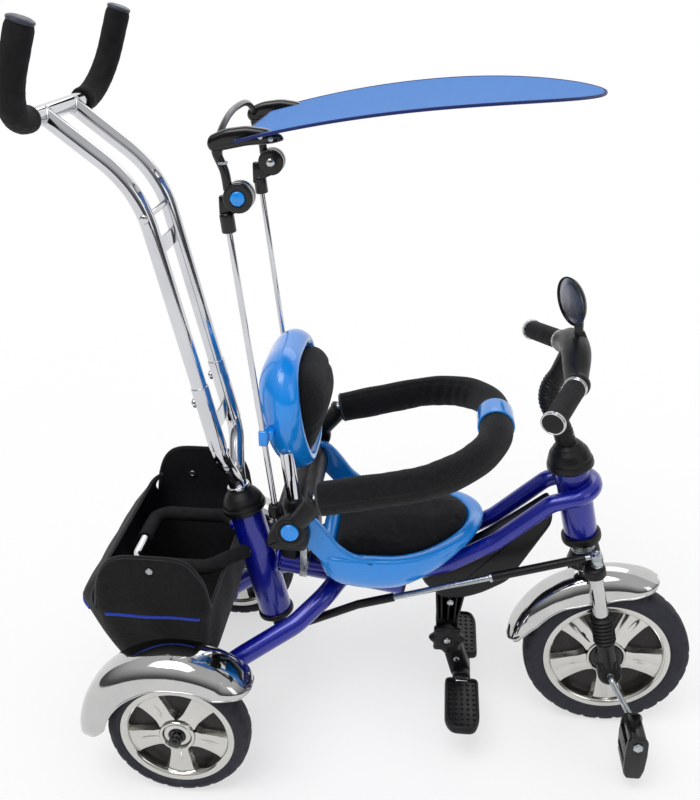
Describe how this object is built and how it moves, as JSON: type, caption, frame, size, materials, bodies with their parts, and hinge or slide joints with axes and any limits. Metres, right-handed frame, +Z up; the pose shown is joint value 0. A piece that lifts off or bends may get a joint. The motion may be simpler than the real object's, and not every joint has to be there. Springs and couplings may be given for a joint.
{
  "type": "toddler push-along trike",
  "caption": "Toddler trike with a steering push pole, bucket seat with safety ring, tilting canopy, folding footrest, fabric basket and spoked wheels",
  "frame": {"origin": "floor level, at the middle of the trike's length and width", "axes": "+X forward, +Y to the rider's left, +Z up"},
  "size_m": [0.9174, 0.496, 1.0466],
  "materials": {
    "frame_paint": "gloss metallic blue",
    "zinc": "zinc plated",
    "black_plastic": "satin moulded",
    "grip_rubber": "ribbed matte",
    "foam": "matte closed-cell foam",
    "blue_plastic": "glossy moulded",
    "black_fabric": "woven, padded",
    "canopy_cloth": "taut woven cloth",
    "chrome_steel": "polished",
    "plated_plastic": "chrome plated",
    "tyre_foam": "matte moulded foam rubber",
    "mirror_face": "polished"
  },
  "bodies": {
    "chassis": {"head_tube": "frame_paint", "main_tube": "frame_paint", "spine_tube": "frame_paint", "rear_column": "frame_paint", "rear_stays": "frame_paint", "rear_axle": "zinc", "bushes": "black_plastic", "belly_cover": "black_plastic", "seat_shell": "blue_plastic", "seat_cushion": "black_fabric", "seat_bracket": "black_plastic", "seat_uprights": "chrome_steel", "back_shell": "blue_plastic", "back_cushion": "black_fabric", "canopy_knuckles": "black_plastic", "rear_mudguards": "plated_plastic", "basket": "black_fabric", "basket_rack": "chrome_steel", "footrest_bracket": "black_plastic", "fasteners": "chrome_steel"},
    "fork": {"steerer": "zinc", "fork_crown": "black_plastic", "fork_legs": "chrome_steel", "fork_lowers": "black_plastic", "front_mudguard": "plated_plastic", "stem": "black_plastic", "bar_ends": "chrome_steel", "grips": "grip_rubber"},
    "mirror": {"mirror_shell": "black_plastic", "mirror_glass": "mirror_face"},
    "front_wheel": {"front_tyre": "tyre_foam", "front_rim": "plated_plastic", "front_hub_cover": "black_plastic", "crank_axle": "zinc"},
    "pedal_right": {"pedal_right": "black_plastic"},
    "pedal_left": {"pedal_left": "black_plastic"},
    "rear_wheel_right": {"rear_tyre_right": "tyre_foam", "rear_rim_right": "plated_plastic"},
    "rear_wheel_left": {"rear_tyre_left": "tyre_foam", "rear_rim_left": "plated_plastic"},
    "push_pole": {"pole_shaft": "zinc", "pole_dome": "black_plastic", "pole_tubes": "chrome_steel"},
    "pole_buttons": {"pole_buttons": "chrome_steel"},
    "push_handle": {"handle_tubes": "chrome_steel", "handle_foam": "foam"},
    "tie_rod": {"tie_rod": "zinc"},
    "footrest": {"footrest": "black_plastic"},
    "footrest_knob": {"footrest_knob": "black_plastic"},
    "canopy": {"canopy_fittings": "black_plastic", "canopy_hoop": "black_plastic", "canopy_sheet": "canopy_cloth"},
    "canopy_button_right": {"canopy_button_right": "blue_plastic"},
    "canopy_button_left": {"canopy_button_left": "blue_plastic"},
    "safety_ring": {"ring_sockets": "black_plastic", "ring_bar": "chrome_steel", "ring_sleeve": "black_fabric", "ring_clip": "blue_plastic"},
    "ring_button_right": {"ring_button_right": "blue_plastic"},
    "ring_button_left": {"ring_button_left": "blue_plastic"}
  },
  "joints": [
    {"name": "steer", "type": "hinge", "parent": "chassis", "child": "fork", "pos_m": [0.32496, 0, 0.12298], "axis": [-0.225, 0, 0.9744], "range_deg": [-30, 30]},
    {"name": "mirror_swivel", "type": "hinge", "parent": "fork", "child": "mirror", "pos_m": [0.23092, 0, 0.69036], "axis": [-0.225, 0, 0.9744], "range_deg": [-50, 30]},
    {"name": "front_wheel_spin", "type": "hinge", "parent": "fork", "child": "front_wheel", "pos_m": [0.33373, 0, 0.125], "axis": [0, 1, 0], "continuous": true},
    {"name": "pedal_right_spin", "type": "hinge", "parent": "front_wheel", "child": "pedal_right", "pos_m": [0.36126, -0.133, 0.08568], "axis": [0, 1, 0], "continuous": true},
    {"name": "pedal_left_spin", "type": "hinge", "parent": "front_wheel", "child": "pedal_left", "pos_m": [0.3062, 0.133, 0.16432], "axis": [0, 1, 0], "continuous": true},
    {"name": "rear_right_spin", "type": "hinge", "parent": "chassis", "child": "rear_wheel_right", "pos_m": [-0.28627, -0.206, 0.1025], "axis": [0, 1, 0], "continuous": true},
    {"name": "rear_left_spin", "type": "hinge", "parent": "chassis", "child": "rear_wheel_left", "pos_m": [-0.28627, 0.206, 0.1025], "axis": [0, 1, 0], "continuous": true},
    {"name": "pole_turn", "type": "hinge", "parent": "chassis", "child": "push_pole", "pos_m": [-0.17727, 0, 0.15], "axis": [-0.225, 0, 0.9744], "range_deg": [-30, 30]},
    {"name": "handle_slide", "type": "slide", "parent": "push_pole", "child": "push_handle", "axis": [-0.225, 0, 0.9744], "range_m": [-0.05, 0]},
    {"name": "pole_button_press", "type": "slide", "parent": "push_pole", "child": "pole_buttons", "axis": [0.9744, 0, 0.225], "range_m": [0, 0.0015], "stiffness_N_per_m": 600},
    {"name": "link_turn", "type": "hinge", "parent": "fork", "child": "tie_rod", "pos_m": [0.29181, -0.05, 0.32879], "axis": [-0.225, 0, 0.9744], "range_deg": [-30, 30]},
    {"name": "canopy_tilt", "type": "hinge", "parent": "chassis", "child": "canopy", "pos_m": [-0.18592, 0, 0.842], "axis": [0, 1, 0], "range_deg": [-60, 12]},
    {"name": "canopy_button_right_press", "type": "slide", "parent": "canopy", "child": "canopy_button_right", "axis": [0, 1, 0], "range_m": [0, 0.002], "stiffness_N_per_m": 400},
    {"name": "canopy_button_left_press", "type": "slide", "parent": "canopy", "child": "canopy_button_left", "axis": [0, -1, 0], "range_m": [0, 0.002], "stiffness_N_per_m": 400},
    {"name": "ring_lift", "type": "hinge", "parent": "chassis", "child": "safety_ring", "pos_m": [-0.13027, 0, 0.403], "axis": [0, 1, 0], "range_deg": [-70, 0]},
    {"name": "ring_button_right_press", "type": "slide", "parent": "chassis", "child": "ring_button_right", "axis": [0, 1, 0], "range_m": [0, 0.003], "stiffness_N_per_m": 400},
    {"name": "ring_button_left_press", "type": "slide", "parent": "chassis", "child": "ring_button_left", "axis": [0, -1, 0], "range_m": [0, 0.003], "stiffness_N_per_m": 400},
    {"name": "footrest_fold", "type": "hinge", "parent": "chassis", "child": "footrest", "pos_m": [0.08973, 0, 0.15], "axis": [0, 1, 0], "range_deg": [0, 80]},
    {"name": "footrest_knob_turn", "type": "hinge", "parent": "chassis", "child": "footrest_knob", "pos_m": [0.08973, -0.028, 0.15], "axis": [0, 1, 0], "continuous": true}
  ],
  "couplings": [
    {"joint": "pole_turn", "follows": "steer", "ratio": 1},
    {"joint": "link_turn", "follows": "steer", "ratio": -1}
  ]
}
